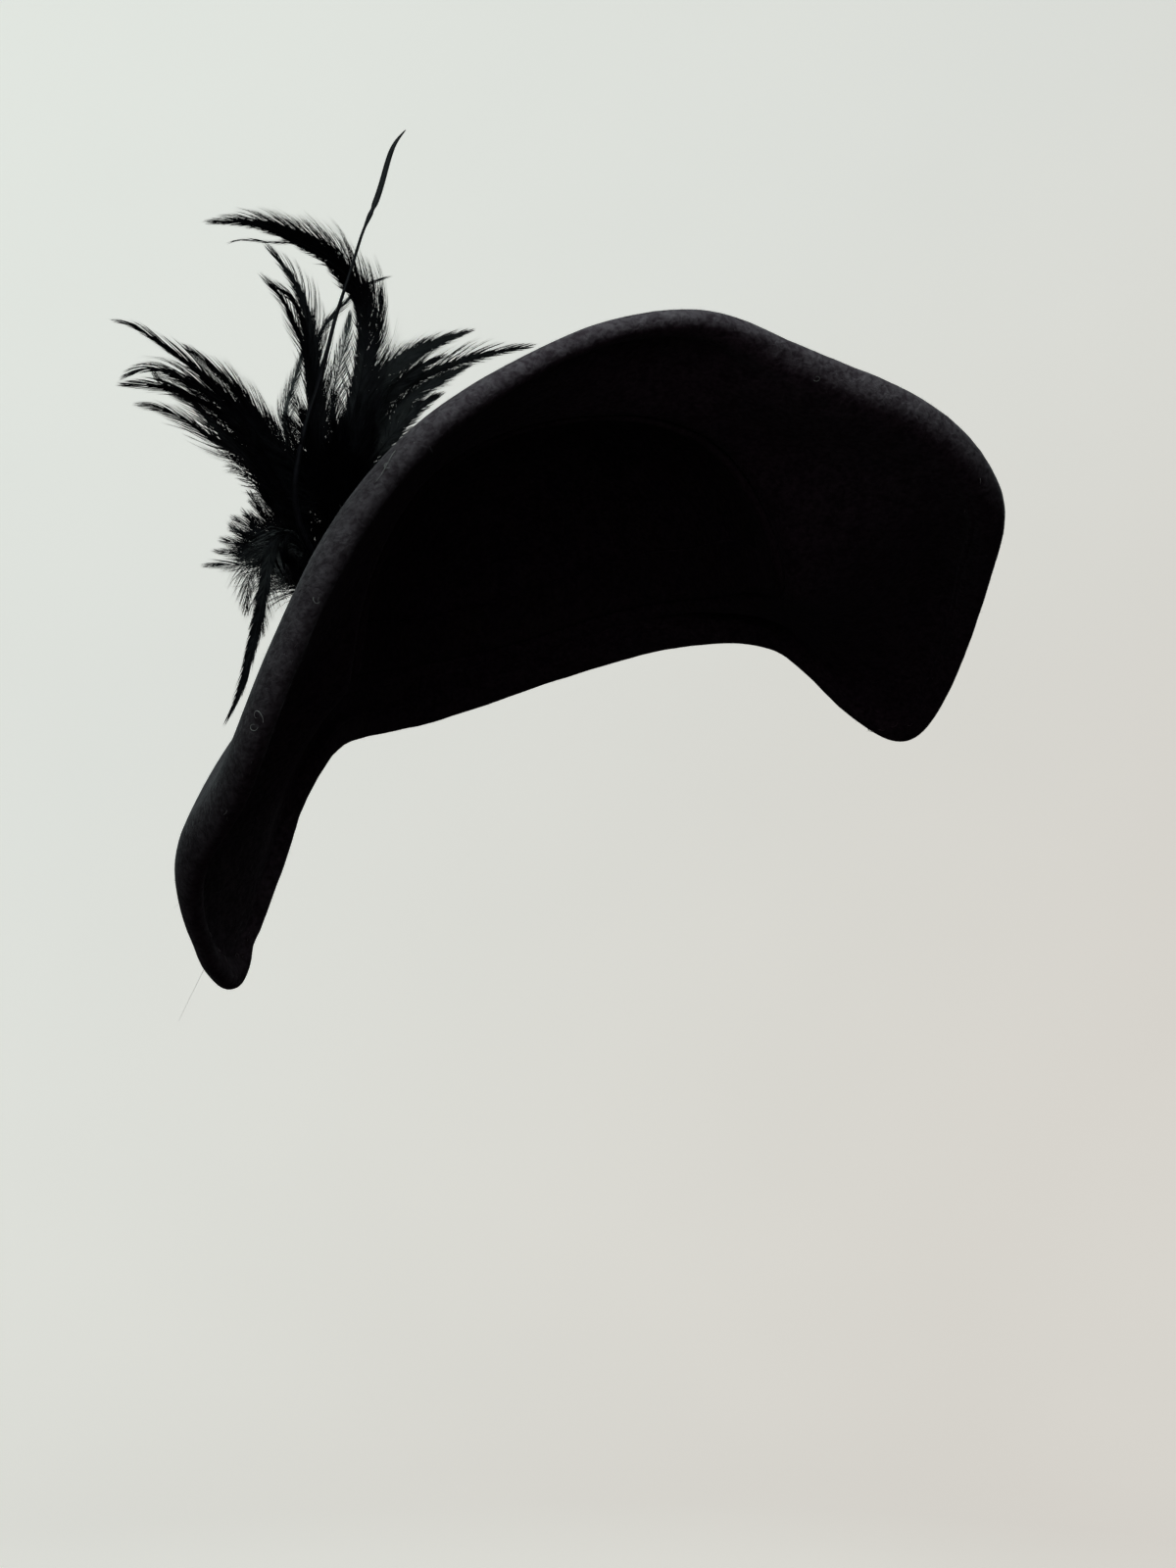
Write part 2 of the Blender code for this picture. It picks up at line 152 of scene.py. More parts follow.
# Nap of the felt: its fibres, how much denser they are on the shell's rows round the brim's edge,
# half a fibre's width along it, how deep it is rooted, and the share and width of pale ones
NAP_COUNT = 30000
EDGE_ROWS = (0.38, 0.64)
EDGE_DENSER = 2.6
NAP_STEPS = (0.0, 0.35, 0.7, 1.0)
NAP_WIDTHS = (0.028, 0.026, 0.018, 0.0)
NAP_DEPTH = 0.15
PALE_SHARE = 0.035
PALE_WIDER = 1.3

# Headband: how thick it is, its rows as heights above the rim with how far its face is rounded back
# there, the heights beyond them that its slope is taken from, and its running stitches
BAND_THICKNESS = 3.4
BAND_INSET = 0.25
BAND_ROWS = [(20, 0.55), (19.6, 0.25), (18.5, 0), (16.5, 0), (14, 0), (11.5, 0),
             (9, 0), (7, 0), (5.2, 0.05), (4, 0.25), (3.5, 0.6)]
BAND_ENDS = (22, 2)
STITCH_ROW = 8
STITCH_SEAT = 0.2
STITCH_SPACING = 6.0
STITCH_LENGTH = 3.4
STITCH_RISE = (-0.45, 0.0, 0.14, 0.14, 0.0, -0.45)
THREAD_RADIUS = 0.22
THREAD_SIDES = 6

# Feather pad on the crown, as back and up: its profile as shares of its size and thickness, and
# the waves of its cut edge, each with a depth, a number round the pad and a phase
PAD_CENTRE = (9.0, 14.0)
PAD_HALF = (17.0, 15.0)
PAD_THICKNESS = 2.2
PAD_LIFT = FELT / 2 + GAP + 0.1
PAD_PROFILE = [(0.25, 0), (0.6, 0), (0.9, 0), (0.97, 0.12), (1, 0.5),
               (0.985, 0.8), (0.95, 0.95), (0.8, 1), (0.5, 1), (0.25, 1)]
PAD_EDGE = [(0.012, 7, 0), (0.008, 17, 1)]
PAD_COLUMNS = 72

# Groups of feathers: the piece that each becomes, where its root is on the pad, and how far up a
# shaft its close vane goes
ROOT_RADIUS = 4.6
GROUPS = {
    "upright_plumes": ("upright_feathers", (2.0, 22.0), 0.90),
    "crown_plumes": ("crown_feathers", (16.0, 20.0), 0.94),
    "side_plumes": ("side_feathers", (14.0, 7.0), 0.80),
    "hackle_tuft": ("tuft_feathers", (1.0, 7.0), 0.95),
}

# One row for each feather: how far its barbs stand out left and right of the shaft, seen from the
# front with its tip up, how far out they lie close together, the space between strands, how far a
# barb runs on for each millimetre out, degrees about the shaft, and the shaft's points after the root
FEATHERS = {"upright_plumes": [
    (3, 8.5, 4.4, 1.3, 1.9, 6,
     [(-70, 6, 46), (-66, 6, 65), (-63, 8, 78), (-62, 9, 89), (-64, 9, 99), (-69, 8, 105), (-75, 5, 110),
      (-84, 1, 113), (-95, -4, 115), (-106, -9, 115), (-120, -16, 112)]),
    (0.8, 0.8, 0.2, 2.4, 4, 0,
     [(-66, 8, 60), (-62, 9, 88), (-66, 7, 102), (-75, 4, 108), (-85, 0, 112), (-94, -4, 111),
      (-101, -8, 110), (-108, -11, 109), (-114, -14, 106)]),
    (3.5, 8, 1.6, 2, 2.2, -14,
     [(-78, 10, 40), (-76, 12, 56), (-76, 13, 65), (-77, 15, 78), (-78, 17, 90), (-80, 19, 98),
      (-83, 21, 106), (-88, 23, 113), (-92, 25, 118)]),
    (4.5, 6.5, 1.1, 2.2, 2.4, 18,
     [(-80, 4, 42), (-81, 5, 58), (-82, 4, 69), (-84, 2, 79), (-88, 0, 87), (-92, -3, 93), (-97, -6, 97),
      (-101, -8, 100)]),
    (2.5, 6, 0.9, 2.2, 2.6, -8,
     [(-79, 4, 44), (-80, 6, 60), (-80, 6, 72), (-82, 6, 83), (-85, 4, 91), (-89, 2, 96), (-94, 0, 98),
      (-98, -2, 100)]),
    (2, 2.6, 0.7, 1.3, 3.2, 20,
     [(-77, 16, 50), (-76, 20, 71), (-75, 24, 82), (-72, 27, 90), (-67, 30, 97), (-60, 32, 104),
      (-54, 34, 109), (-45, 36, 113)]),
    (4, 5.5, 0.3, 0.9, 2.2, 8,
     [(-66, 12, 48), (-60, 15, 60), (-58, 16, 69), (-56, 20, 80), (-54, 22, 89), (-53, 24, 96),
      (-52, 26, 103), (-52, 27, 108)]),
    (7, 3, 0.4, 2, 2, -20,
     [(-68, 9, 48), (-63, 11, 62), (-61, 12, 74), (-59, 14, 85), (-58, 16, 94), (-58, 18, 102),
      (-60, 20, 109)]),
    (4.5, 5, 0.4, 0.42, 2.4, -6,
     [(-75, 14, 42), (-71, 17, 50), (-70, 18, 58), (-69, 22, 69), (-66, 25, 80), (-63, 28, 90),
      (-61, 30, 99)]),
    (5, 3.5, 0.6, 0.4, 2.6, 10,
     [(-82, 16, 36), (-84, 22, 51), (-84, 26, 62), (-81, 29, 72), (-78, 31, 80), (-76, 32, 86)]),
], "crown_plumes": [
    (8, 4, 4.2, 1.1, 2.6, 10,
     [(-68, 19, 44), (-65, 20, 53), (-60, 22, 61), (-54, 27, 71), (-47, 31, 80), (-36, 35, 88),
      (-26, 38, 93), (-14, 40, 98)]),
    (5, 4, 2.2, 1.4, 2.8, -18,
     [(-67, 18, 42), (-59, 20, 57), (-53, 26, 68), (-45, 30, 75), (-36, 33, 82), (-25, 36, 88)]),
    (7.5, 3.5, 1.3, 1.5, 3, -8,
     [(-66, 22, 44), (-56, 26, 57), (-48, 34, 69), (-36, 42, 79), (-22, 48, 86), (-6, 52, 92),
      (14, 54, 97)]),
    (7, 4.5, 3.4, 1.2, 2.6, 14,
     [(-67, 18, 40), (-58, 20, 52), (-49, 26, 62), (-39, 31, 72), (-28, 35, 79), (-15, 39, 86)]),
    (5, 4, 2.8, 1.4, 2.6, -16,
     [(-67, 16, 38), (-57, 16, 49), (-47, 22, 60), (-38, 26, 68), (-28, 30, 74)]),
], "side_plumes": [
    (1.2, 5, 1.5, 1.5, 4.2, -10,
     [(-84, 6, 28), (-91, 4, 40), (-97, 2, 49), (-105, 0, 58), (-113, -3, 64), (-122, -7, 70),
      (-132, -11, 75), (-141, -15, 79), (-148, -17, 80)]),
    (3, 6.5, 2.6, 1.4, 3.2, 14,
     [(-84, 8, 30), (-89, 7, 42), (-94, 6, 51), (-101, 4, 60), (-109, 2, 68), (-117, -1, 73),
      (-124, -3, 77)]),
    (3.5, 6, 1.4, 1.3, 3.6, 8,
     [(-84, 10, 28), (-90, 9, 37), (-97, 9, 46), (-106, 10, 56), (-115, 9, 62), (-126, 6, 65),
      (-135, 3, 65), (-143, 0, 64)]),
    (3, 6.5, 1.8, 1.4, 3.6, -6,
     [(-85, 8, 30), (-91, 7, 39), (-98, 6, 48), (-108, 6, 60), (-118, 4, 66), (-127, 1, 69),
      (-136, -2, 69), (-143, -4, 65)]),
    (5.5, 4.5, 1.2, 1.6, 3.4, 18,
     [(-83, 16, 26), (-90, 17, 37), (-97, 18, 46), (-106, 22, 51), (-115, 24, 57), (-125, 26, 62),
      (-133, 28, 63)]),
    (5, 5, 2.2, 1.6, 2.8, -16,
     [(-83, 12, 26), (-90, 13, 35), (-98, 14, 44), (-109, 17, 56), (-117, 19, 64), (-125, 20, 69),
      (-129, 21, 74)]),
    (4.5, 4.5, 2.4, 1.6, 2.6, 24,
     [(-84, 8, 26), (-91, 8, 38), (-98, 8, 48), (-106, 8, 56), (-113, 7, 60)]),
    (6.5, 6.5, 0.4, 1.6, 1.3, 10,
     [(-86, 12, 24), (-92, 14, 31), (-94, 20, 37), (-97, 24, 41), (-100, 27, 44), (-104, 28, 44)]),
], "hackle_tuft": [
    (2, 2, 1.6, 1.6, 5, 16,
     [(-90, 0, 20), (-96, -2, 14), (-99, -6, 3), (-101, -8, -5), (-103, -9, -13), (-105, -10, -20),
      (-108, -11, -30), (-113, -12, -40)]),
    (8.5, 8.5, 0.3, 0.45, 1.7, -8,
     [(-88, 4, 18), (-94, 2, 15), (-97, 0, 10), (-98, -1, 4), (-99, -2, -2), (-99, -2, -12)]),
    (3, 9, 0.3, 0.9, 1.6, 12,
     [(-90, 0, 20), (-97, -1, 14), (-101, -4, 10), (-104, -7, 5), (-105, -8, -6)]),
    (3, 3, 2.2, 1, 1.8, 30,
     [(-84, 0, 4), (-89, -3, 10), (-92, -6, 13), (-93, -8, 16), (-92, -9, 20)]),
]}

# Short feathers that fill each group: how many, their length, how far their barbs stand out and run
# on, and their fan in degrees up from the wearer's right, with how far they lean back
FILLERS = {
    "upright_plumes": [(22, 42, 5.5, 2.4, 48, 112, -0.05),
                       (10, 40, 5, 2.6, 72, 104, -0.65)],
    "crown_plumes": [(30, 38, 5, 2.6, 96, 156, 0.2)],
    "side_plumes": [(28, 34, 4.5, 3, 14, 68, 0)],
    "hackle_tuft": [(26, 8, 2.2, 1.3, -40, 66, -0.3),
                    (16, 12, 3.5, 1.8, 80, 150, -0.35),
                    (12, 14, 3, 1.6, -85, -45, -0.2)],
}

# Down at each root: locks, hairs in a lock, greatest length, and its fan as above
DOWN = {
    "upright_plumes": [(130, 8, 27, 20, 130, -0.2)],
    "crown_plumes": [(80, 8, 22, 60, 160, 0)],
    "side_plumes": [(150, 8, 26, -10, 90, -0.2)],
    "hackle_tuft": [(320, 9, 11, -50, 90, -0.4),
                    (70, 5, 16, -60, 80, -0.3),
                    (160, 9, 18, -95, -50, -0.3),
                    (200, 9, 18, 65, 140, -1.1)],
}

# Places along a hair of down, and half its width there
DOWN_STEPS = (0.0, 0.22, 0.42, 0.62, 0.82, 1.0)
DOWN_WIDTHS = (0.12, 0.11, 0.09, 0.07, 0.045, 0.0)

# A feather with its strands closer than this is pale and downy
PALE_SPACE = 0.5

# Feathers: half of a barb's width and places along it, a stem's radius at its foot and tip, how far
# barbs may run on past the tip, and how many degrees a vane twists
BARB = 0.068
BARB_STEPS = (0.0, 0.15, 0.32, 0.52, 0.76, 1.0)
STEM_RADII = (0.34, 0.06)
PAST_TIP = 6.0
TWIST = 14.0

# Layers that lie close beside a shaft: how far out they reach for each millimetre of core, space
# between strands, barbs in a strand, half a barb's width, and how much of the tip past the close
# vane they cover
LEAST_CORE = 0.5
CLOSE_SWEEP = 2.2
LAYERS = [(1.0, 0.36, 1, 0.19, 0.0), (1.8, 0.8, 2, 0.09, 0.5)]

# Which way the feathers' flat sides face
FACING = np.array([-0.37, -0.93, 0.0])

# Quill: its seat on the pad as back and up, its points, how far its foot's middle is off the pad,
# and its radius at shares of its length
QUILL_SEAT = (-4.0, 4.0)
QUILL = [(-84, -6, 15), (-89, -8, 26), (-90, -10, 37), (-87, -10, 53), (-83, -9, 65), (-80, -9, 76),
         (-77, -8, 87), (-74, -7, 96), (-70, -5, 107), (-66, -3, 118), (-61, -1, 129), (-57, 1, 141),
         (-54, 2, 148), (-50, 4, 153)]
QUILL_FOOT = 0.65
QUILL_SIDES = 10
QUILL_SHARES = (0.0, 0.25, 0.55, 0.8, 1.0)
QUILL_RADII = (1.25, 0.85, 0.55, 0.42, 0.12)

# Vane left at the quill's tip: where it starts, the shares in which it widens and ends, how far it
# stands out, and its nick
TIP_VANE = 0.72
TIP_WIDENS = 0.04
TIP_ENDS = 0.12
TIP_WIDTH = 0.55
NICK_PLACE = 0.76
NICK_WIDTH = 0.008
NICK_DEPTH = 0.7

# Where the drawn-in felt beside the lower tip is pinched: the place, how far it is pushed, and
# how wide the dent is
PINCHES = [
    ((-115.8, 5.2, -110), (1, -0.4, 0.2), 4),
    ((-93.9, 28.8, -110.1), (-1, 0.4, 0.2), 4),
    ((-104.9, 21.1, -102), (-0.3, 0.8, 0), 3.5),
    ((-109.4, 12.9, -116), (-0.4, -0.5, -0.5), 4),
]

# Loose fibres on the felt: where each starts, its heading, its length, how many degrees it bends
# along the way and how many more towards its end, its radius, and a flag if it hangs free
LINT = [
    ((-117, -75, -41), (0.3, 0.1, 1), 8, 60, 210, 0.11),
    ((-117.5, -73.7, -42.5), (-0.2, 0.6, -1), 5, -120, -160, 0.1),
    ((-84, -93, 35), (-0.5, -0.2, -1), 12, 30, -60, 0.09),
    ((-86, -93, 31), (-1, 0, -0.4), 3.5, 90, 90, 0.08),
    ((-26.6, -75.2, 61.3), (0.6, 0, -1), 3.2, 50, 60, 0.1),
    ((46.8, -93.5, 62.8), (1, 0, -0.8), 3.6, 120, 150, 0.11),
    ((113.9, -78.1, 38.8), (0.4, 0, -1), 2.6, -40, 60, 0.1),
    ((135, 32.2, -37.9), (1, -0.2, 0.2), 2.8, 30, 20, 0.11),
    ((138.6, 30, -37.6), (1, -0.2, 0.4), 2.4, -50, 30, 0.1),
    ((142.3, 27.2, -37.2), (1, -0.4, 0.1), 3, 40, 40, 0.11),
    ((146.2, 23.2, -36.6), (0.8, -0.6, 0.3), 2.4, -30, 90, 0.1),
    ((150, 19, -36), (0.7, -0.8, 0.5), 2.6, 60, -50, 0.1),
    ((-109.4, 12.9, -110.4), (0.6, 0.2, -1), 4, 140, 120, 0.1),
    ((-104, 18, -113.8), (-1, 0, 0.3), 3.6, -150, 60, 0.09),
    ((-99, 27.8, -113.8), (-0.4, -0.2, 1), 3.4, 100, 160, 0.1),
    ((-112, 8, -106), (0.3, 0.3, 1), 3, 80, -160, 0.08),
    ((-112.8, 16.8, -116.7), (-0.5, 0, -1), 18, 14, -20, 0.05, True),
    ((-105.6, -89, -6.5), (-0.3, 0.2, -1), 3, 90, 60, 0.07),
    ((-121, -50, -66), (-0.3, 0.2, -1), 2.6, -90, 60, 0.07),
]
LINT_STEPS = 17
LINT_RISE = 0.15
LINT_ARCH = 0.5

# Painted light on the felt: it gets this much paler between these two heights, in metres, standing in for
# the light that falls on the top of the brim
PAINTED_TOP_LIGHT_FROM = 0.025
PAINTED_TOP_LIGHT_TO = 0.065
PAINTED_TOP_LIGHT = 1.8


def unit(vectors):
    return vectors / np.maximum(np.linalg.norm(vectors, axis=-1, keepdims=True), 1e-9)


def full_turn(steps):
    return np.linspace(0.0, 2 * np.pi, steps, endpoint=False)


def distances(path):
    """How far along a path each of its points lies."""
    return np.concatenate([[0.0], np.cumsum(np.linalg.norm(np.diff(path, axis=0), axis=1))])


def sample(places, reach, table):
    """Rows of a table at places along a path."""
    return np.stack([np.interp(places, reach, column) for column in table.T], axis=1)


def path_frame(path):
    """Two directions across a path: square to FACING, and square to that."""
    along = unit(np.gradient(path, axis=0))
    across = unit(np.cross(along, FACING))
    return across, np.cross(across, along)


def spline(rows, per_span, closed):
    """Cubic curve through the rows, with per_span steps between two of them."""
    rows = np.asarray(rows, float)
    count = len(rows)
    system = 4.0 * np.eye(count) + np.eye(count, k=1) + np.eye(count, k=-1)
    right = 3.0 * (np.roll(rows, -1, 0) - np.roll(rows, 1, 0))
    if closed:
        system[0, -1] = system[-1, 0] = 1.0
        spans = count
    else:
        system[0, 0] = system[-1, -1] = 2.0
        right[0] = 3.0 * (rows[1] - rows[0])
        right[-1] = 3.0 * (rows[-1] - rows[-2])
        spans = count - 1
    slopes = np.linalg.solve(system, right)
    points = []
    for span in range(spans):
        after = (span + 1) % count
        for step in range(per_span):
            t = step / per_span
            points.append((2 * t**3 - 3 * t**2 + 1) * rows[span] + (t**3 - 2 * t**2 + t) * slopes[span]
                          + (3 * t**2 - 2 * t**3) * rows[after] + (t**3 - t**2) * slopes[after])
    if not closed:
        points.append(rows[-1])
    return np.array(points)


def crown_point(bearing, height):
    rise = (height - CROWN_CENTRE[2]) / CROWN_HALF[2]
    reach = np.sqrt(1.0 - rise**2)
    turn = np.radians(bearing)
    return CROWN_CENTRE + CROWN_HALF * np.array([reach * np.sin(turn), -reach * np.cos(turn), rise])


def crown_side(back, height):
    """Point and outward normal on the wearer's right of the crown."""
    rise = (height - CROWN_CENTRE[2]) / CROWN_HALF[2]
    along = (back - CROWN_CENTRE[1]) / CROWN_HALF[1]
    direction = np.array([-np.sqrt(1.0 - rise**2 - along**2), along, rise])
    return CROWN_CENTRE + CROWN_HALF * direction, unit(direction / CROWN_HALF)


def on_pad(seat, radius):
    point, outward = crown_side(*seat)
    return point + outward * (PAD_LIFT + PAD_THICKNESS + GAP + radius)


def between(pole, ends, share):
    """Directions a share of the way from the pole to each end, along great circles."""
    angle = np.arccos(np.clip(ends @ pole, -1.0, 1.0))[:, None]
    return (np.sin((1.0 - share) * angle) * pole + np.sin(share * angle) * ends) / np.sin(angle)


def sloped(level, rise):
    angle = np.radians(rise)[:, None]
    return level * np.cos(angle) + UP * np.sin(angle)


class Felt:
    """Middle surface of the felt: the crown, the crease round it and the brim."""

    def __init__(self):
        stations = []
        for bearing, rim, *edge in SECTIONS:
            stations.append([*crown_point(bearing, rim), *edge])
        columns = spline(stations, SPANS, closed=True)
        self.pole = unit(CROWN_POLE)
        self.directions = unit((columns[:, 0:3] - CROWN_CENTRE) / CROWN_HALF)
        self.root = self.crown(1.0)
        path = np.array([self.crown(share) for share in np.linspace(0.0, 1.0, 13)])
        self.crown_length = np.linalg.norm(np.diff(path, axis=0), axis=2).sum(axis=0)
        self.lay_brim(columns[:, 3:6], *columns[:, 6:9].T)

    def crown(self, share):
        share = np.reshape(share, (-1, 1))
        return CROWN_CENTRE + CROWN_HALF * between(self.pole, self.directions, share)

    def share_above_rim(self, distance):
        along = unit(np.roll(self.root, -1, 0) - np.roll(self.root, 1, 0))
        up = unit(self.crown(0.96) - self.root)
        lean = np.linalg.norm(np.cross(up, along), axis=1)
        return 1.0 - distance / np.maximum(lean, LEAST_LEAN) / self.crown_length

    def lay_brim(self, outline, root_rise, edge_rise, roll):
        start = self.root
        span = outline - start
        level = unit(span * np.array([1.0, 1.0, 0.0]))
        reach = np.linalg.norm(span, axis=1)[:, None]
        self.ahead = sloped(level, edge_rise)
        turn = np.radians(roll)[:, None]
        self.turn = np.where(np.abs(turn) < 0.01, 0.01, turn)
        self.strip_width = np.minimum(ROLLED_STRIP, reach * NARROW_SHARE)
        self.radius = self.strip_width / self.turn
        strip_reach = self.radius * np.sin(np.clip(self.turn, -np.pi / 2, np.pi / 2))
        bend = outline - self.ahead * strip_reach
        pull = reach * TANGENT_SHARE
        self.controls = [start, start + sloped(level, root_rise) * pull,
                         bend - self.ahead * np.minimum(pull, reach * END_SHARE), bend]
        across = unit(np.cross(self.ahead, UP))
        edge_run = np.roll(outline, -1, 0) - np.roll(outline, 1, 0)
        self.outward = np.where(self.turn < 0.0, unit(np.cross(edge_run, self.ahead)),
                                unit(np.cross(across, self.ahead)))
        self.brim_length = np.linalg.norm(bend - start, axis=1)

    def brim(self, share):
        t = np.reshape(share, (-1, 1))
        a, b, c, d = self.controls
        return (1 - t)**3 * a + 3 * (1 - t)**2 * t * b + 3 * (1 - t) * t**2 * c + t**3 * d

    def strip(self, distance):
        angle = self.turn * (1.0 - distance / self.strip_width)
        offset = self.ahead * np.sin(angle) + self.outward * (1.0 - np.cos(angle))
        return self.controls[3] + self.radius * offset

    def wall(self):
        """Rows of the middle surface, their normals, and how many come before the edge's strip."""
        band_top = self.share_above_rim(RIM_HEIGHTS[0])
        rows = [self.crown(share * band_top) for share in CROWN_SHARES]
        rows += [self.crown(self.share_above_rim(height)) for height in RIM_HEIGHTS]
        first_share = np.minimum(CREASE / self.brim_length, 0.1)
        first, last = self.brim(first_share), rows[-1]
        for t in (0.2, 0.4, 0.6, 0.8):
            rows.append((1 - t)**2 * last + 2 * t * (1 - t) * self.root + t**2 * first)
        shares = np.linspace(0.0, 1.0, BRIM_ROWS)
        rows += [self.brim(first_share + (1.0 - first_share) * share) for share in shares]
        plain = len(rows)
        rows += [self.strip(distance) for distance in EDGE_STEPS]
        rows = np.array(rows)
        return rows, surface_normals(rows), plain


def surface_normals(rows):
    round_way = np.roll(rows, -1, 1) - np.roll(rows, 1, 1)
    down = np.gradient(rows, axis=0)
    return unit(np.cross(round_way, down))


def wave(points, size, seed):
    """Smooth noise from -1 to 1 at each point, for lumps of the given size."""
    flat = points.reshape(-1, 3) / size + seed
    values = [noise.noise(Vector(point)) for point in flat]
    return np.array(values).reshape(points.shape[:-1])


def lumps(points, layers):
    return sum(height * wave(points, size, seed) for height, size, seed in layers)


def new_object(name, data):
    item = bpy.data.objects.new(name, data)
    bpy.context.scene.collection.objects.link(item)
    return item


def new_piece(name, points, faces, material, slot, smooth=True):
    """Piece made of points in millimetres and faces, which rides on the hat."""
    mesh = bpy.data.meshes.new(name)
    mesh.from_pydata((np.asarray(points) * MM).tolist(), [], faces)
    mesh.update()
    if smooth:
        mesh.shade_smooth()
    mesh.materials.append(material)
    piece = new_object(name, mesh)
    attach(piece, "root")
    return piece


def shifted(faces, first):
    return [tuple(first + corner for corner in face) for face in faces]


def ring_faces(rings, columns, closed=False):
    """Quads between rings of points that follow each other."""
    faces = []
    for row in range(rings if closed else rings - 1):
        below = (row + 1) % rings
        for here in range(columns):
            after = (here + 1) % columns
            faces.append((row * columns + here, row * columns + after,
                          below * columns + after, below * columns + here))
    return faces


def capped_faces(rings, columns):
    """Faces of a tube of rings, flat at both ends."""
    end = (rings - 1) * columns
    return [*ring_faces(rings, columns), tuple(range(columns)), tuple(range(end, end + columns))]


def domed_faces(rings, columns):
    """Faces of a tube of rings whose ends meet at the two points that follow its rings."""
    faces = ring_faces(rings, columns)
    end = (rings - 1) * columns
    for here in range(columns):
        after = (here + 1) % columns
        faces.append((after, here, end + columns))
        faces.append((end + here, end + after, end + columns + 1))
    return faces


class Finish:
    """Material made of a Principled shader and the procedural nodes that feed it."""

    def __init__(self, name, colour, roughness):
        self.material = bpy.data.materials.new(name)
        self.material.use_nodes = True
        self.tree = self.material.node_tree
        self.set({"Base Color": (*colour, 1.0), "Roughness": roughness})
        self.place = self.node("TexCoord", {}).outputs["Object"]

    def set(self, inputs):
        self.feed(self.tree.nodes["Principled BSDF"], inputs)

    def feed(self, node, inputs):
        """Each input takes a value or another node's output."""
        for name, value in inputs.items():
            if isinstance(value, bpy.types.NodeSocket):
                self.tree.links.new(value, node.inputs[name])
            else:
                node.inputs[name].default_value = value

    def node(self, kind, inputs, **settings):
        node = self.tree.nodes.new("ShaderNode" + kind)
        for setting, value in settings.items():
            setattr(node, setting, value)
        self.feed(node, inputs)
        return node

    def noise(self, scale, detail, distortion):
        inputs = {"Vector": self.place, "Scale": scale, "Detail": detail, "Distortion": distortion}
        return self.node("TexNoise", inputs).outputs["Fac"]

    def axis(self, name):
        return self.node("SeparateXYZ", {0: self.place}).outputs[name]

    def multiply_add(self, value, factor, addend):
        return self.node("Math", {0: value, 1: factor, 2: addend}, operation='MULTIPLY_ADD').outputs[0]

    def ramp(self, factor, stops):
        ramp = self.node("ValToRGB", {"Fac": factor})
        elements = ramp.color_ramp.elements
        for element, (place, colour) in zip(elements, (stops[0], stops[-1])):
            element.position, element.color = place, (*colour, 1.0)
        for place, colour in stops[1:-1]:
            elements.new(place).color = (*colour, 1.0)
        return ramp.outputs["Color"]

    def bump(self, height, strength, distance, under=None):
        inputs = {"Height": height, "Strength": strength, "Distance": distance}
        if under is not None:
            inputs["Normal"] = under
        return self.node("Bump", inputs).outputs["Normal"]


def felt_material(name, dark, pale, sheen):
    """Pressed wool: mottled near-black, with light painted on as paler colour towards the top, a tangled
    nap and a soft sheen.
    """
    finish = Finish(name, dark, 0.95)
    nap = finish.noise(1500.0, 4.0, 0.8)
    tangle = finish.noise(560.0, 6.0, 0.4)
    mottle = finish.noise(170.0, 3.0, 0.4)
    mix = finish.multiply_add(tangle, 0.65, finish.multiply_add(mottle, 0.35, 0.0))
    middle_colour = tuple((a + b) / 2 for a, b in zip(dark, pale))
    colour = finish.ramp(mix, [(0.40, dark), (0.51, middle_colour), (0.64, pale)])
    # Painted light: the colour grows paler towards the top, where light falls on the brim's edge
    heights = {"Value": finish.axis("Z"), "From Min": PAINTED_TOP_LIGHT_FROM, "From Max": PAINTED_TOP_LIGHT_TO,
               "To Min": 1.0, "To Max": PAINTED_TOP_LIGHT}
    painted_light_gain = finish.node("MapRange", heights, interpolation_type='SMOOTHSTEP').outputs["Result"]
    colour_with_painted_light = finish.node("VectorMath", {0: colour, "Scale": painted_light_gain}, operation='SCALE').outputs[0]
    coarse = finish.bump(mottle, 0.30, 0.0012)
    middle = finish.bump(tangle, 0.75, 0.0007, coarse)
    fine = finish.bump(nap, 0.60, 0.0003, middle)
    finish.set({"Base Color": colour_with_painted_light, "Normal": fine, "Specular IOR Level": 0.12})
    finish.set({"Sheen Weight": sheen, "Sheen Roughness": 0.35, "Sheen Tint": (0.55, 0.55, 0.58, 1.0)})
    return finish.material


def strand_material(name, dark, pale, roughness, gloss):
    """Barbs, loose fibres, shafts and thread: slight changes of colour and a fine grain."""
    finish = Finish(name, dark, roughness)
    colour = finish.ramp(finish.noise(260.0, 3.0, 0.8), [(0.35, dark), (0.75, pale)])
    grain = finish.bump(finish.noise(3000.0, 2.0, 0.5), 0.25, 0.0001)
    finish.set({"Base Color": colour, "Normal": grain, "Specular IOR Level": gloss})
    return finish.material


def round_edge(near, far, normal, ahead, turns):
    """Rings that round an edge from one row to another."""
    middle = (near + far) / 2
    half = np.linalg.norm(near - far, axis=1)[:, None] / 2
    return [middle + half * (normal * np.sin(turn) + ahead * np.cos(turn)) for turn in np.radians(turns)]


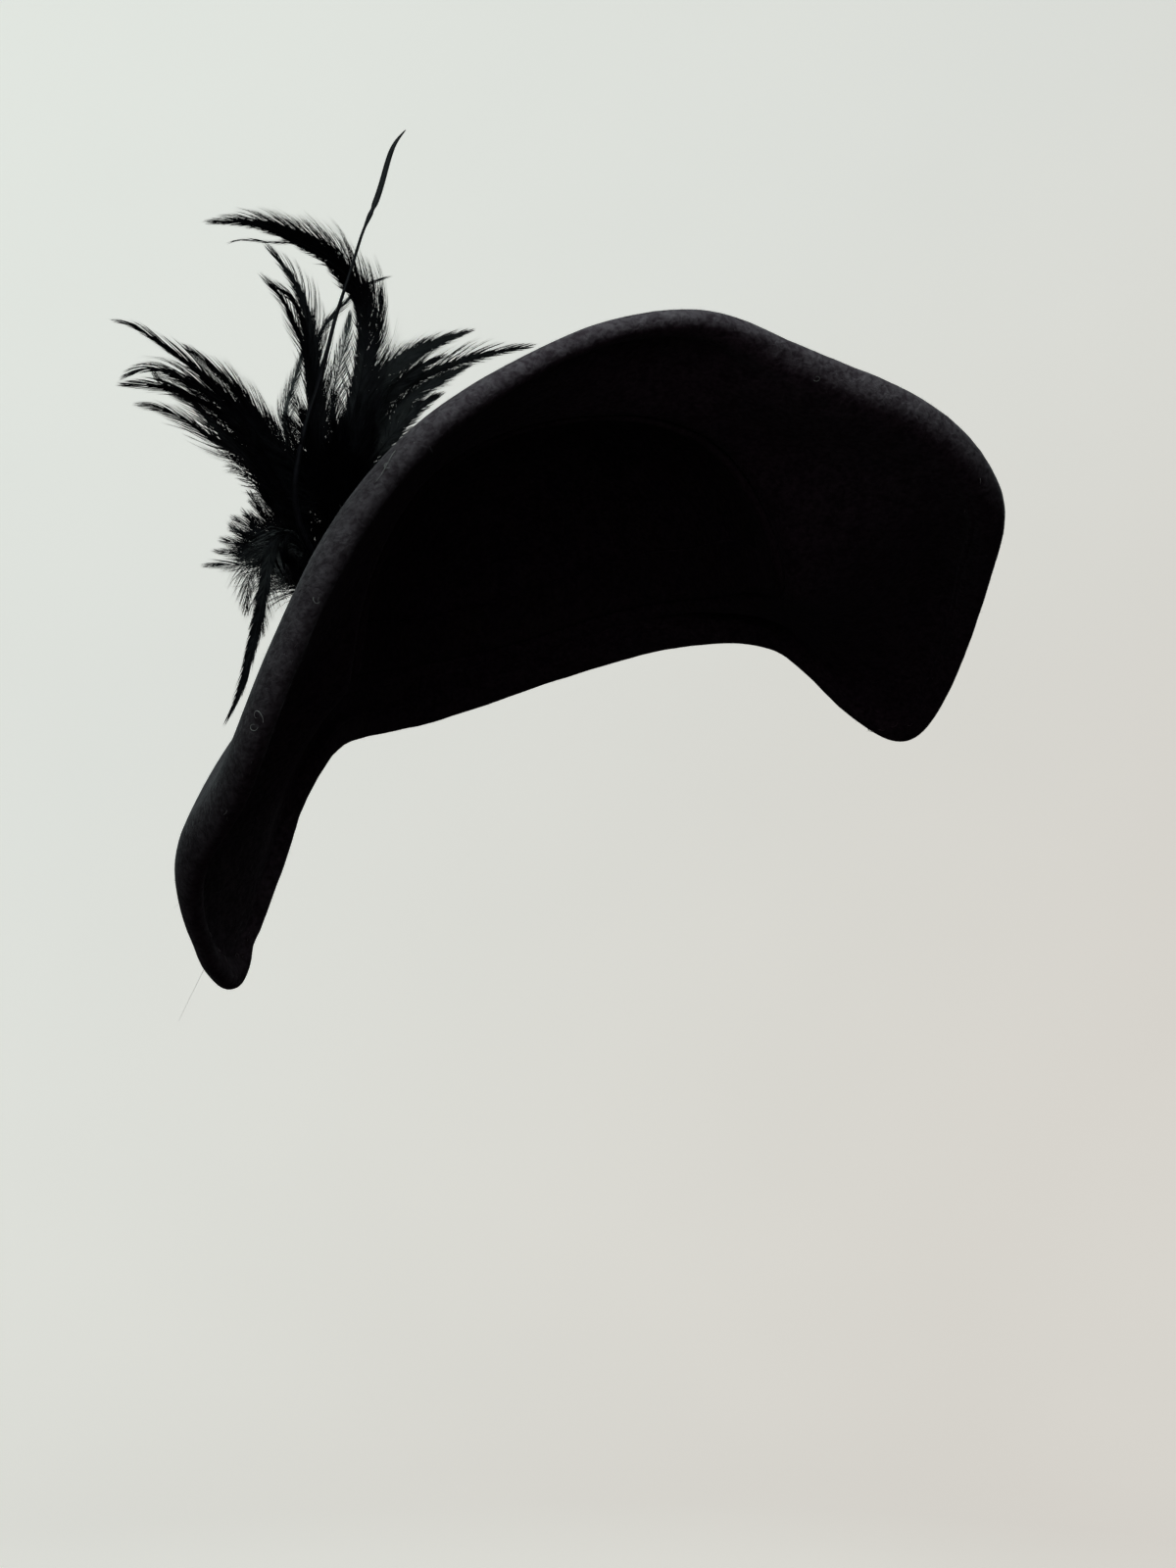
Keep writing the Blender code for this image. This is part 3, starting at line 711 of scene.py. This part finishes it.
def make_felt(rows, normals, plain):
    """Crown and brim with the turned-under hem, as one closed shell."""
    count = rows.shape[1]
    distance = np.array([math.inf] * plain + list(EDGE_STEPS))
    places = np.arange(count) / SPANS
    sections, steps, seams = np.array(SEWN).T
    sewn = np.interp(places, sections, steps)[None]
    seam = np.interp(places, sections, seams)[None]
    step = np.sin(np.clip((HEM_WIDTH + HEM_EASE - distance) / HEM_EASE, 0.0, 1.0) * np.pi / 2)**0.8
    step *= 1.0 + HEM_PUFF * np.sin(np.pi * np.clip(distance, 0, HEM_WIDTH) / HEM_WIDTH)
    rounded = np.sin(np.clip((ROUND_FROM - distance) / ROUND_OVER, 0.0, 1.0) * np.pi / 2)**2
    swell = step[:, None] * sewn + rounded[:, None] * (1.0 - sewn)
    groove = np.exp(-((distance - STITCH_LINE) / SEAM_WIDTH)**2)[:, None] * SEAM_DEPTH * seam
    extra = swell * (HEM_THICKNESS - FELT) - groove
    rows = rows + normals * lumps(rows, FELT_LUMPS)[..., None]
    under = lumps(rows, UNDER_LUMPS)
    outer = rows + normals * FELT / 2
    inner = rows - normals * (FELT / 2 + extra * (1.0 + under * 2.0) + under * 0.6)[..., None]
    ahead = unit(rows[-1] - rows[-2])
    rim = round_edge(outer[-1], inner[-1], normals[-1], ahead, np.linspace(78.0, -78.0, 11))
    rings = np.array([*outer, *rim, *inner[::-1]])
    for place, push, wide in PINCHES:
        away = np.linalg.norm(rings - place, axis=2, keepdims=True)
        rings = rings + np.array(push) * np.exp(-(away / wide)**2)
    pole = CROWN_CENTRE + CROWN_HALF * unit(CROWN_POLE)
    up = unit(unit(CROWN_POLE) / CROWN_HALF)
    points = np.vstack([rings.reshape(-1, 3), pole + up * FELT / 2, pole - up * FELT / 2])
    piece = new_piece("felt_shell", points, domed_faces(len(rings), count), felt, "black_wool_felt")
    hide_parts("felt_body")
    return rings


def ribbons(points, sides, widths):
    """Points and faces of thin ribbons: centre lines (n, k, 3), sideways directions, half widths."""
    count, steps = points.shape[:2]
    low = points - sides * widths[..., None]
    high = points + sides * widths[..., None]
    flat = np.stack([low, high], axis=2)[:, :-1].reshape(count, -1, 3)
    flat = np.concatenate([flat, points[:, -1:]], axis=1)
    size = flat.shape[1]
    faces = []
    pattern = [(2 * k, 2 * k + 1, 2 * k + 3, 2 * k + 2) for k in range(steps - 2)]
    pattern.append((size - 3, size - 2, size - 1))
    for number in range(count):
        faces += shifted(pattern, number * size)
    return flat.reshape(-1, 3), faces


def make_nap(rings):
    """Loose wool fibres that stand out of the felt, a few of them pale."""
    rng = np.random.default_rng(41)
    count = NAP_COUNT
    total, columns = rings.shape[:2]
    beside = np.roll(rings, -1, 1)[:-1] - rings[:-1]
    area = np.linalg.norm(np.cross(beside, rings[1:] - rings[:-1]), axis=2)
    index = np.arange(total - 1)[:, None]
    at_edge = (index > EDGE_ROWS[0] * total) & (index < EDGE_ROWS[1] * total)
    weight = area * np.where(at_edge, EDGE_DENSER, 1.0)
    pick = rng.choice(weight.size, count, p=(weight / weight.sum()).ravel())
    row, column = np.unravel_index(pick, weight.shape)
    across, down = rng.random((2, count, 1))
    after = (column + 1) % columns
    here, there, below = rings[row, column], rings[row, after], rings[row + 1, column]
    base = ((1 - across) * (1 - down) * here + across * (1 - down) * there
            + (1 - across) * down * below + across * down * rings[row + 1, after])
    normal = unit(np.cross(there - here, below - here))
    random = unit(rng.normal(size=(count, 3)))
    flat = unit(random - normal * (random * normal).sum(1, keepdims=True))
    length = rng.gamma(3.0, 0.26, (count, 1)) + 0.25
    stand = rng.uniform(0.15, 0.75, (count, 1))
    bend = unit(rng.normal(size=(count, 3))) * length * 0.28
    points = []
    # Each fibre lies along the felt and lifts off it towards its tip
    for t in NAP_STEPS:
        points.append(base - normal * NAP_DEPTH + flat * length * t
                      + normal * length * stand * t * (1.6 - t) + bend * t**2)
    points = np.stack(points, axis=1)
    sides = unit(np.cross(flat, normal))[:, None]
    widths = np.tile(NAP_WIDTHS, (count, 1))
    pale = rng.random(count) < PALE_SHARE
    nap = ribbons(points[~pale], sides[~pale], widths[~pale])
    new_piece("felt_nap", *nap, nap_fibre, "black_wool_felt", smooth=False)
    fuzz = ribbons(points[pale], sides[pale], widths[pale] * PALE_WIDER)
    new_piece("pale_fuzz", *fuzz, lint_fibre, "black_wool_felt", smooth=False)


def make_lint(rings):
    """Loose curled fibres that cling to the felt, and one hair that hangs from it."""
    cluster = Cluster(77)
    surface = rings.reshape(-1, 3)
    normals = surface_normals(rings).reshape(-1, 3)
    for place, heading, length, bend, coil, radius, *clear in LINT:
        nearest = np.argmin(((surface - place)**2).sum(1))
        up = normals[nearest]
        heading = np.array(heading)
        ahead = unit(heading if clear else heading - up * (up @ heading))
        aside = np.cross(up, ahead)
        points = [surface[nearest]]
        for t in np.linspace(0.0, 1.0, LINT_STEPS + 1)[1:]:
            angle = math.radians(bend * t + coil * t * t)
            step = ahead * math.cos(angle) + aside * math.sin(angle)
            points.append(points[-1] + step * length / LINT_STEPS)
        for number, point in enumerate([] if clear else points):
            nearest = np.argmin(((surface - point)**2).sum(1))
            up = normals[nearest]
            rise = LINT_RISE + LINT_ARCH * math.sin(math.pi * number / LINT_STEPS)
            points[number] = point + up * (rise - (point - surface[nearest]) @ up)
        cluster.tube(np.array(points), radius * np.linspace(1.0, 0.6, len(points)))
    new_piece("loose_lint", np.vstack(cluster.points), cluster.faces, lint_fibre, "black_wool_felt")


def make_band(form):
    """Folded felt band inside the crown, with its running stitches."""
    heights, depths = np.array(BAND_ROWS).T
    heights = (BAND_ENDS[0], *heights, BAND_ENDS[1])
    full = np.array([form.crown(form.share_above_rim(height)) for height in heights])
    rows = full[1:-1]
    normals = surface_normals(full)[1:-1]
    back = FELT / 2 + GAP
    face = back + BAND_THICKNESS
    depth = depths[:, None]
    front = rows - normals * (face - BAND_INSET - depth + lumps(rows, BAND_LUMPS))[..., None]
    rear = rows - normals * (back + 0.35 * depth)[..., None]
    down = unit(rows[-1] - rows[-2]) * 0.9
    folds = round_edge(front[-1], rear[-1], -normals[-1], down, (-55.0, 0.0, 55.0))
    rings = np.array([*rear, *folds, *front[::-1]])
    faces = ring_faces(len(rings), rings.shape[1], closed=True)
    piece = new_piece("folded_band", rings.reshape(-1, 3), faces, band_felt, "black_band_felt")
    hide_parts("headband")
    line = rows[STITCH_ROW] - normals[STITCH_ROW] * (face - STITCH_SEAT)
    make_stitches(line, -normals[STITCH_ROW])


def make_stitches(line, normals):
    """Short threads that run along a closed line and dip into the felt at both ends."""
    table = np.column_stack([line, normals])
    table = np.vstack([table, table[:1]])
    reach = distances(table[:, :3])
    total = reach[-1]
    count = int(total / STITCH_SPACING)
    steps = len(STITCH_RISE)
    tube = ring_faces(steps, THREAD_SIDES)
    tube.append(tuple(range(THREAD_SIDES - 1, -1, -1)))
    tube.append(tuple(range((steps - 1) * THREAD_SIDES, steps * THREAD_SIDES)))
    turn = full_turn(THREAD_SIDES)[:, None]
    points, faces = [], []
    for number in range(count):
        places = number * total / count + np.linspace(-0.5, 0.5, steps) * STITCH_LENGTH
        here = sample(places % total, reach, table)
        proud = unit(here[:, 3:6])
        middle = here[:, :3] + proud * np.array(STITCH_RISE)[:, None]
        along = unit(np.gradient(middle, axis=0))
        aside = unit(np.cross(along, proud))
        third = np.cross(aside, along)[:, None]
        ring = aside[:, None] * np.cos(turn) + third * np.sin(turn)
        faces += shifted(tube, len(points))
        points += (middle[:, None] + THREAD_RADIUS * ring).reshape(-1, 3).tolist()
    new_piece("band_stitches", points, faces, thread, "black_wool_felt")


def make_pad():
    """Oval of felt under the feathers."""
    rings = []
    for size, high in PAD_PROFILE:
        ring = []
        for angle in full_turn(PAD_COLUMNS):
            wobble = 1.0
            for deep, waves, phase in PAD_EDGE:
                wobble -= deep * (1.0 + math.sin(waves * angle + phase))
            back = PAD_CENTRE[0] + size * wobble * PAD_HALF[0] * np.cos(angle)
            height = PAD_CENTRE[1] + size * wobble * PAD_HALF[1] * np.sin(angle)
            point, outward = crown_side(back, height)
            ring.append(point + outward * (PAD_LIFT + high * PAD_THICKNESS))
        rings.append(ring)
    point, outward = crown_side(*PAD_CENTRE)
    ends = [point + outward * PAD_LIFT, point + outward * (PAD_LIFT + PAD_THICKNESS)]
    points = np.vstack([np.array(rings).reshape(-1, 3), *ends])
    faces = domed_faces(len(rings), PAD_COLUMNS)
    piece = new_piece("sewn_pad", points, faces, felt, "black_wool_felt")
    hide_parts("feather_pad")


class Cluster:
    """Points and faces of one group's feathers, gathered before its mesh is made."""

    def __init__(self, seed):
        self.points = []
        self.faces = []
        self.size = 0
        self.rng = np.random.default_rng(seed)

    def add(self, points, faces):
        self.points.append(np.asarray(points))
        self.faces += shifted(faces, self.size)
        self.size += len(points)

    def tube(self, path, radii, sides=5):
        """Round stem along a path, closed at its ends."""
        aside, third = path_frame(path)
        rings = []
        for angle in full_turn(sides):
            rings.append(path + (aside * np.cos(angle) + third * np.sin(angle)) * radii[:, None])
        rings = np.stack(rings, axis=1)
        self.add(rings.reshape(-1, 3), capped_faces(len(path), sides))

    def feather(self, path, left, right, core, space, sweep, turn, close, bare=0.10):
        """One feather: its shaft along a path, the close vane beside it, and strands that stand out."""
        path = np.vstack([path, path[-1] + unit(path[-1] - path[-2]) * PAST_TIP])
        reach = distances(path)
        across, proud = path_frame(path)
        spin = np.radians(turn + TWIST * np.sin(np.linspace(0.0, 3.0, len(path))))[:, None]
        across, proud = (across * np.cos(spin) + proud * np.sin(spin),
                         proud * np.cos(spin) - across * np.sin(spin))
        total = reach[-2]
        stem = path[reach < 0.96 * total]
        self.tube(stem, np.linspace(*STEM_RADII, len(stem)) * min(1.0, total / 60.0 + 0.3))
        table = np.column_stack([path, across, proud])
        for side, wide in ((-1.0, left), (1.0, right)):
            for spread, gap, together, half, rest in LAYERS if core > LEAST_CORE else []:
                self.vane(table, reach, side, min(spread * core, wide), gap, CLOSE_SWEEP, bare,
                          together, half, rest + close * (1.0 - rest))
            together = 3 if space > 1.2 else 2 if space > 0.6 else 1
            self.vane(table, reach, side, wide, space, sweep, bare, together, BARB)

    def vane(self, table, reach, side, wide, space, sweep, bare, together, half, until=1.0):
        """Barbs along one side of a shaft, in strands of a few that cling towards their tips."""
        rng = self.rng
        total = reach[-2]
        strands = int(total * (until * 0.98 - bare) / space)
        lock = np.repeat(np.arange(strands), together)
        count = len(lock)
        # Where each strand leaves the shaft, and its barbs beside each other
        home = bare * total + (np.arange(strands) + rng.uniform(-0.4, 0.4, strands)) * space
        start = home[lock] + np.tile((np.arange(together) - 0.5 * (together - 1)) * 0.26 * space, strands)
        tilt = rng.normal(size=(strands, 4))[lock]
        stray = np.where(rng.random(strands) < 0.10, 1.3, 1.0)[lock]
        # How far each barb runs on, which is less near the tip
        full = wide * sweep * (1.0 + 0.10 * tilt[:, 1] + 0.04 * rng.normal(size=count)) * stray + 1.5
        room = np.maximum(until * total - start, 0.2)
        advance = full * (1.0 - np.exp(-1.1 * room / full)) + rng.uniform(0.0, 1.2, count) * (room < full)
        # How far it stands out, which is less near the foot and the tip
        grow = np.clip((start / total - bare) / 0.2 + 0.25, 0.0, 1.0)**0.5
        shape = np.clip((until * total + 1.2 - start - advance) / (0.32 * total), 0.0, 1.0)**0.8
        uneven = 1.0 + 0.12 * tilt[:, 0] + 0.04 * rng.normal(size=count)
        stand = wide * grow * shape * uneven * stray + 0.12
        lift = stand * (0.14 * tilt[:, 2] + 0.03 * rng.normal(size=count) - 0.10)
        sway = 0.03 * wide * (tilt[:, 1:] + 0.25 * rng.normal(size=(count, 3)))
        # Barbs of a strand draw together as they curve towards the tip
        lines, normals = [], []
        for t in BARB_STEPS:
            gather = 0.86 * min(1.0, t / 0.5)
            at = start + (home[lock] - start) * gather + advance * (0.85 * t + 0.15 * t * t)
            here = sample(at, reach, table)
            out, up = unit(here[:, 3:6]) * side, unit(here[:, 6:9])
            off = stand * (1.0 - (1.0 - t)**1.25)
            lines.append(here[:, :3] + out * off[:, None] + up * (lift * t * t)[:, None] + sway * t * t)
            normals.append(up)
        points = np.stack(lines, axis=1)
        facing = np.stack(normals, axis=1) + 0.20 * rng.normal(size=(count, 1, 3))
        sides = unit(np.cross(np.gradient(points, axis=1), facing))
        widths = [half * min(1.0, (1.02 - t) * 2.2) for t in BARB_STEPS]
        self.add(*ribbons(points, sides, np.tile(widths, (count, 1))))

    def down(self, centre, locks, hairs, length, first, last, lean):
        """Loose down that stands out of a root in curved locks."""
        rng = self.rng
        lock = np.repeat(np.arange(locks), hairs)
        count = len(lock)
        angle = np.radians(rng.uniform(first, last, locks))[lock] + 0.10 * rng.normal(size=count)
        depth = (rng.normal(size=locks) * 0.55 + lean)[lock] + 0.10 * rng.normal(size=count)
        out = unit(np.stack([-np.cos(angle), depth, np.sin(angle)], axis=1))
        size = length * rng.uniform(0.45, 1.0, locks)[lock] * rng.uniform(0.75, 1.1, count)
        bend = unit(rng.normal(size=(locks, 3)))[lock] + 0.25 * rng.normal(size=(count, 3))
        bend = bend + (0.0, 0.0, -0.5)
        seat = centre + 2.4 * rng.normal(size=(locks, 3))[lock]
        lines = []
        for t in DOWN_STEPS:
            lines.append(seat + out * (size * t)[:, None] + bend * (size * 0.26 * t**2.2)[:, None])
        points = np.stack(lines, axis=1)
        sides = unit(np.cross(np.gradient(points, axis=1), FACING + 0.3 * rng.normal(size=(count, 1, 3))))
        self.add(*ribbons(points, sides, np.tile(DOWN_WIDTHS, (count, 1))))

    def bead(self, centre, radius):
        """Wrapped root: a bead of thread turns."""
        angles = full_turn(24)
        rings = []
        for number, high in enumerate(np.linspace(-0.92, 0.92, 23)):
            wide = radius * math.sqrt(1.0 - high**2) * (1.0 if number % 2 else 0.95)
            ring = [np.array([np.cos(a) * wide, np.sin(a) * wide, high * radius]) for a in angles]
            rings.append(centre + np.array(ring))
        rings = np.array(rings)
        self.add(rings.reshape(-1, 3), capped_faces(len(rings), len(angles)))


def make_feathers():
    """A mesh for each group: its long feathers, the short ones that fill it, and its down."""
    for number, (group, (name, root, close)) in enumerate(GROUPS.items()):
        centre = on_pad(root, ROOT_RADIUS)
        cluster = Cluster(100 + number)
        pale = Cluster(200 + number)
        cluster.bead(centre, ROOT_RADIUS * 0.97)
        for left, right, core, space, sweep, turn, shaft in FEATHERS[group]:
            path = spline([centre, *shaft], 6, closed=False)
            owner = pale if space < PALE_SPACE else cluster
            owner.feather(path, left, right, core, space, sweep, turn, close)
        for row in FILLERS[group]:
            fill(cluster, centre, *row)
        for row in DOWN[group]:
            cluster.down(centre, *row)
        for piece_name, part, material in ((name, cluster, barbs), ("pale_" + name, pale, pale_barbs)):
            if part.size:
                points = np.vstack(part.points)
                piece = new_piece(piece_name, points, part.faces, material, "black_feather", smooth=False)
                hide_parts(group)


def fill(cluster, centre, count, length, wide, sweep, first, last, lean):
    """Short feathers that fan out of a root."""
    rng = cluster.rng
    for k in range(count):
        share = (k + 0.5) / count
        angle = math.radians(first + (last - first) * share + rng.uniform(-5, 5))
        size = length * rng.uniform(0.7, 1.1)
        out = unit(np.array([-math.cos(angle), lean + rng.uniform(-0.4, 0.4), math.sin(angle)]))
        bend = np.array([-0.25, -0.05, -0.25]) * rng.uniform(-0.6, 1.0)
        steps = np.linspace(0.0, 1.0, 9)[:, None]
        path = centre + out * size * steps + bend * size * steps**2
        reach = wide * rng.uniform(0.8, 1.15)
        core = 0.45 * reach * rng.random()
        turn = rng.uniform(-40, 40)
        cluster.feather(path, reach, reach, core, 1.3, sweep, turn, close=0.7, bare=0.05)


def make_quill():
    """Stripped quill with a narrow vane left at its tip."""
    path = spline([on_pad(QUILL_SEAT, QUILL_FOOT), *QUILL], 12, closed=False)
    share = np.linspace(0.0, 1.0, len(path))
    radii = np.interp(share, QUILL_SHARES, QUILL_RADII)
    aside, third = path_frame(path)
    widens = np.clip((share - TIP_VANE) / TIP_WIDENS, 0.0, 1.0)
    vane = widens * np.clip((1.0 - share) / TIP_ENDS, 0.0, 1.0)**0.7
    nick = 1.0 - NICK_DEPTH * np.exp(-((share - NICK_PLACE) / NICK_WIDTH)**2)
    blade = TIP_WIDTH * vane * nick
    flat = radii * (1.0 - 0.4 * vane)
    rings = []
    for angle in full_turn(QUILL_SIDES):
        wide = radii + blade * abs(math.cos(angle))
        rings.append(path + aside * (np.cos(angle) * wide)[:, None]
                     + third * (np.sin(angle) * flat)[:, None])
    points = np.stack(rings, axis=1).reshape(-1, 3)
    piece = new_piece("stripped_quill", points, capped_faces(len(path), QUILL_SIDES), quill, "dark_quill")
    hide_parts("quill_spike")


def make_camera():
    """Camera, and the level directions from the hat towards it and to its right."""
    turn = math.radians(VIEW_BEARING)
    toward = Vector((math.sin(turn), -math.cos(turn), 0.0))
    aside = Vector((math.cos(turn), math.sin(turn), 0.0))
    data = bpy.data.cameras.new("studio_camera")
    data.lens = VIEW_LENS
    data.clip_start = 0.01
    camera = new_object("studio_camera", data)
    camera.location = (toward * VIEW_DISTANCE + aside * VIEW_ASIDE) * MM
    camera.location.z += VIEW_HEIGHT * MM
    camera.rotation_euler = (-toward).to_track_quat('-Z', 'Y').to_euler()
    bpy.context.scene.camera = camera
    return toward, aside


def make_backdrop():
    """Pale round floor that sweeps up into a wall on every side, in metres, with light painted on it as a
    glow that brightens towards the upper left.
    """
    floor, radius, curve, top, columns = -0.80, 2.5, 0.9, 3.4, 96
    profile = [(radius - curve, floor)]
    for angle in np.radians(np.linspace(6.0, 90.0, 15)):
        profile.append((radius - curve + curve * math.sin(angle), floor + curve - curve * math.cos(angle)))
    profile.append((radius, top))
    points = []
    for reach, high in profile:
        points += [(reach * math.cos(a), reach * math.sin(a), high) for a in full_turn(columns)]
    faces = ring_faces(len(profile), columns)
    faces.append(tuple(range(columns - 1, -1, -1)))
    mesh = bpy.data.meshes.new("studio_sweep")
    mesh.from_pydata(points, [], faces)
    mesh.shade_smooth()
    finish = Finish("pale_sweep", (0.82, 0.82, 0.80), 0.9)
    paint = finish.ramp(finish.noise(3.0, 2.0, 0.0), SWEEP_PAINT)
    # Painted light: the backdrop glows brighter towards the upper left, standing in for the light that
    # falls on the wall
    rise = finish.multiply_add(finish.axis("Z"), PAINTED_LIGHT_RISE, 0.5)
    painted_light = finish.ramp(finish.multiply_add(finish.axis("X"), PAINTED_LIGHT_SLANT, rise), SWEEP_PAINTED_LIGHT)
    finish.set({"Base Color": paint, "Emission Color": painted_light, "Emission Strength": 1.0})
    mesh.materials.append(finish.material)
    sweep = new_object("studio_sweep", mesh)
    sweep.visible_diffuse = False
    sweep.visible_glossy = False


def make_lights(toward, aside):
    """Square lamps that point at the hat, and a faint light from all round."""
    up = Vector((0.0, 0.0, 1.0))
    for name, ahead, beside, high, size, power, colour in LIGHTS:
        data = bpy.data.lights.new(name, 'AREA')
        data.shape = 'SQUARE'
        data.size = size
        data.energy = power
        data.color = colour
        light = new_object(name, data)
        place = toward * ahead + aside * beside + up * high
        light.location = place
        light.rotation_euler = (-place).to_track_quat('-Z', 'Y').to_euler()
    world = bpy.data.worlds.new("studio_air")
    world.use_nodes = True
    air = world.node_tree.nodes["Background"].inputs
    air["Color"].default_value = (*AIR_COLOUR, 1.0)
    air["Strength"].default_value = AIR_STRENGTH
    bpy.context.scene.world = world


toward, aside = make_camera()
make_backdrop()
make_lights(toward, aside)
bpy.context.scene.view_settings.view_transform = 'Standard'

felt = felt_material("wool_felt", (0.012, 0.0080, 0.0108), (0.035, 0.0285, 0.0335), 0.12)
band_felt = felt_material("band_felt", (0.012, 0.0085, 0.0105), (0.028, 0.023, 0.026), 0.07)
nap_fibre = strand_material("nap_fibre", (0.012, 0.010, 0.012), (0.06, 0.056, 0.06), 0.8, 0.2)
lint_fibre = strand_material("lint_fibre", (0.08, 0.075, 0.075), (0.22, 0.21, 0.21), 0.9, 0.1)
barbs = strand_material("feather_barbs", (0.0012, 0.0012, 0.0016), (0.0034, 0.0034, 0.0046), 0.5, 0.035)
pale_barbs = strand_material("pale_barbs", (0.012, 0.012, 0.013), (0.05, 0.05, 0.052), 0.7, 0.05)
quill = strand_material("quill_shaft", (0.0012, 0.0011, 0.0016), (0.0045, 0.004, 0.006), 0.5, 0.04)
thread = strand_material("sewing_thread", (0.008, 0.008, 0.009), (0.016, 0.015, 0.017), 0.7, 0.3)

form = Felt()
shell_rings = make_felt(*form.wall())
make_nap(shell_rings)
make_lint(shell_rings)
make_band(form)
make_pad()
make_feathers()
make_quill()
